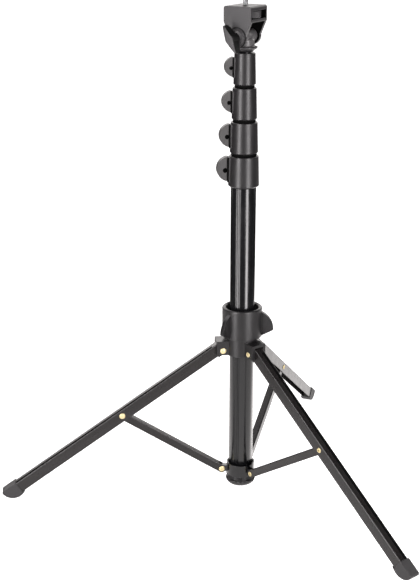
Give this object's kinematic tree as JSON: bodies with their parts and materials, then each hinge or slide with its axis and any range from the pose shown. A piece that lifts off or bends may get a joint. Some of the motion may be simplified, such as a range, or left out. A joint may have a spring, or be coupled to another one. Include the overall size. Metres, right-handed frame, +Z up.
{
  "type": "telescopic camera stand",
  "caption": "Folding three-legged stand with a telescopic column, flip locks and a panning and tilting head that ends in a camera screw.",
  "frame": {"origin": "on the column axis at floor level, midway between the three feet", "axes": "+Z up along the column; -Y points along leg 1; the other legs are 120 degrees either side of it"},
  "size_m": [0.5274, 0.4566, 0.6005],
  "materials": {
    "black_plastic": "fine-grained satin",
    "bolt_steel": "dark plated",
    "foot_rubber": "matte",
    "head_plastic": "fine-grained satin",
    "inner_plastic": "smooth moulded",
    "leg_metal": "satin black coat on pressed steel",
    "pin_metal": "black oxide",
    "rivet_brass": "plated and lightly worn",
    "stud_metal": "black plated thread",
    "tube_metal": "satin black anodised tube"
  },
  "bodies": {
    "column": {"column_tube": "tube_metal", "base_ring": "tube_metal", "base_cap": "black_plastic", "ring_rivet_1": "rivet_brass", "ring_rivet_2": "rivet_brass", "ring_rivet_3": "rivet_brass", "lock_collar_1": "black_plastic", "lever_pin_1": "pin_metal", "brake_pad_1": "inner_plastic"},
    "strut_1": {"strut_1": "leg_metal"},
    "leg_1": {"leg_1": "leg_metal", "foot_1": "foot_rubber", "knee_rivet_1": "rivet_brass"},
    "strut_2": {"strut_2": "leg_metal"},
    "leg_2": {"leg_2": "leg_metal", "foot_2": "foot_rubber", "knee_rivet_2": "rivet_brass"},
    "strut_3": {"strut_3": "leg_metal"},
    "leg_3": {"leg_3": "leg_metal", "foot_3": "foot_rubber", "knee_rivet_3": "rivet_brass"},
    "hub": {"leg_hub": "black_plastic", "hub_collet": "inner_plastic", "hub_rivet_1": "rivet_brass", "hub_rivet_2": "rivet_brass", "hub_rivet_3": "rivet_brass"},
    "lock_ring": {"lock_ring": "black_plastic"},
    "lever_1": {"lock_lever_1": "black_plastic"},
    "lever_2": {"lock_lever_2": "black_plastic"},
    "lever_3": {"lock_lever_3": "black_plastic"},
    "lever_4": {"lock_lever_4": "black_plastic"},
    "stage_2": {"stage_2_tube": "tube_metal", "stage_2_bush": "inner_plastic", "lock_collar_2": "black_plastic", "lever_pin_2": "pin_metal", "brake_pad_2": "inner_plastic"},
    "stage_3": {"stage_3_tube": "tube_metal", "stage_3_bush": "inner_plastic", "lock_collar_3": "black_plastic", "lever_pin_3": "pin_metal", "brake_pad_3": "inner_plastic"},
    "stage_4": {"stage_4_tube": "tube_metal", "stage_4_bush": "inner_plastic", "lock_collar_4": "black_plastic", "lever_pin_4": "pin_metal", "brake_pad_4": "inner_plastic"},
    "stage_5": {"stage_5_tube": "tube_metal", "stage_5_bush": "inner_plastic", "neck_plug": "black_plastic", "pan_screw": "bolt_steel"},
    "yoke": {"tilt_yoke": "head_plastic"},
    "bracket": {"head_bracket": "head_plastic", "tilt_nut": "bolt_steel", "tilt_bolt": "bolt_steel"},
    "tilt_knob": {"tilt_knob": "head_plastic"},
    "thumb_wheel": {"thumb_wheel": "head_plastic", "camera_stud": "stud_metal"}
  },
  "joints": [
    {"name": "strut_1_fold", "type": "hinge", "parent": "column", "child": "strut_1", "pos_m": [0, -0.0245, 0.0215], "axis": [-1, 0, 0], "range_deg": [0, 54]},
    {"name": "leg_1_knee", "type": "hinge", "parent": "strut_1", "child": "leg_1", "pos_m": [0, -0.14904, 0.10238], "axis": [-1, 0, 0], "range_deg": [-108, 0]},
    {"name": "strut_2_fold", "type": "hinge", "parent": "column", "child": "strut_2", "pos_m": [0.02122, 0.01225, 0.0215], "axis": [0.5, -0.866, 0], "range_deg": [0, 54]},
    {"name": "leg_2_knee", "type": "hinge", "parent": "strut_2", "child": "leg_2", "pos_m": [0.12907, 0.07452, 0.10238], "axis": [0.5, -0.866, 0], "range_deg": [-108, 0]},
    {"name": "strut_3_fold", "type": "hinge", "parent": "column", "child": "strut_3", "pos_m": [-0.02122, 0.01225, 0.0215], "axis": [0.5, 0.866, 0], "range_deg": [0, 54]},
    {"name": "leg_3_knee", "type": "hinge", "parent": "strut_3", "child": "leg_3", "pos_m": [-0.12907, 0.07452, 0.10238], "axis": [0.5, 0.866, 0], "range_deg": [-108, 0]},
    {"name": "hub_level", "type": "hinge", "parent": "leg_1", "child": "hub", "pos_m": [0, -0.0245, 0.18326], "axis": [-1, 0, 0], "range_deg": [0, 54]},
    {"name": "lock_ring_twist", "type": "hinge", "parent": "hub", "child": "lock_ring", "pos_m": [0, 0, 0.20326], "axis": [0, 0, 1], "range_deg": [0, 150]},
    {"name": "stage_2_slide", "type": "slide", "parent": "column", "child": "stage_2", "axis": [0, 0, 1], "range_m": [0, 0.32]},
    {"name": "stage_3_slide", "type": "slide", "parent": "stage_2", "child": "stage_3", "axis": [0, 0, 1], "range_m": [0, 0.32]},
    {"name": "stage_4_slide", "type": "slide", "parent": "stage_3", "child": "stage_4", "axis": [0, 0, 1], "range_m": [0, 0.32]},
    {"name": "stage_5_slide", "type": "slide", "parent": "stage_4", "child": "stage_5", "axis": [0, 0, 1], "range_m": [0, 0.32]},
    {"name": "lever_1_flip", "type": "hinge", "parent": "column", "child": "lever_1", "pos_m": [-0.01957, 0.0113, 0.40635], "axis": [-0.5, -0.866, 0], "range_deg": [0, 28]},
    {"name": "lever_2_flip", "type": "hinge", "parent": "stage_2", "child": "lever_2", "pos_m": [-0.01774, 0.01024, 0.44573], "axis": [-0.5, -0.866, 0], "range_deg": [0, 28]},
    {"name": "lever_3_flip", "type": "hinge", "parent": "stage_3", "child": "lever_3", "pos_m": [-0.0159, 0.00918, 0.48511], "axis": [-0.5, -0.866, 0], "range_deg": [0, 28]},
    {"name": "lever_4_flip", "type": "hinge", "parent": "stage_4", "child": "lever_4", "pos_m": [-0.01407, 0.00812, 0.52449], "axis": [-0.5, -0.866, 0], "range_deg": [0, 28]},
    {"name": "head_pan", "type": "hinge", "parent": "stage_5", "child": "yoke", "pos_m": [0, 0, 0.5595], "axis": [0, 0, 1], "continuous": true},
    {"name": "head_tilt", "type": "hinge", "parent": "yoke", "child": "bracket", "pos_m": [0, 0, 0.5595], "axis": [-0.9212, -0.3891, 0], "range_deg": [-90, 90]},
    {"name": "knob_turn", "type": "hinge", "parent": "bracket", "child": "tilt_knob", "pos_m": [0, 0, 0.5595], "axis": [-0.9212, -0.3891, 0], "range_deg": [0, 360]},
    {"name": "wheel_turn", "type": "hinge", "parent": "bracket", "child": "thumb_wheel", "pos_m": [0, 0, 0.584], "axis": [0, 0, 1], "continuous": true}
  ],
  "couplings": [
    {"joint": "leg_1_knee", "follows": "strut_1_fold", "ratio": -2},
    {"joint": "strut_2_fold", "follows": "strut_1_fold", "ratio": 1},
    {"joint": "leg_2_knee", "follows": "strut_1_fold", "ratio": -2},
    {"joint": "strut_3_fold", "follows": "strut_1_fold", "ratio": 1},
    {"joint": "leg_3_knee", "follows": "strut_1_fold", "ratio": -2},
    {"joint": "hub_level", "follows": "strut_1_fold", "ratio": 1}
  ]
}
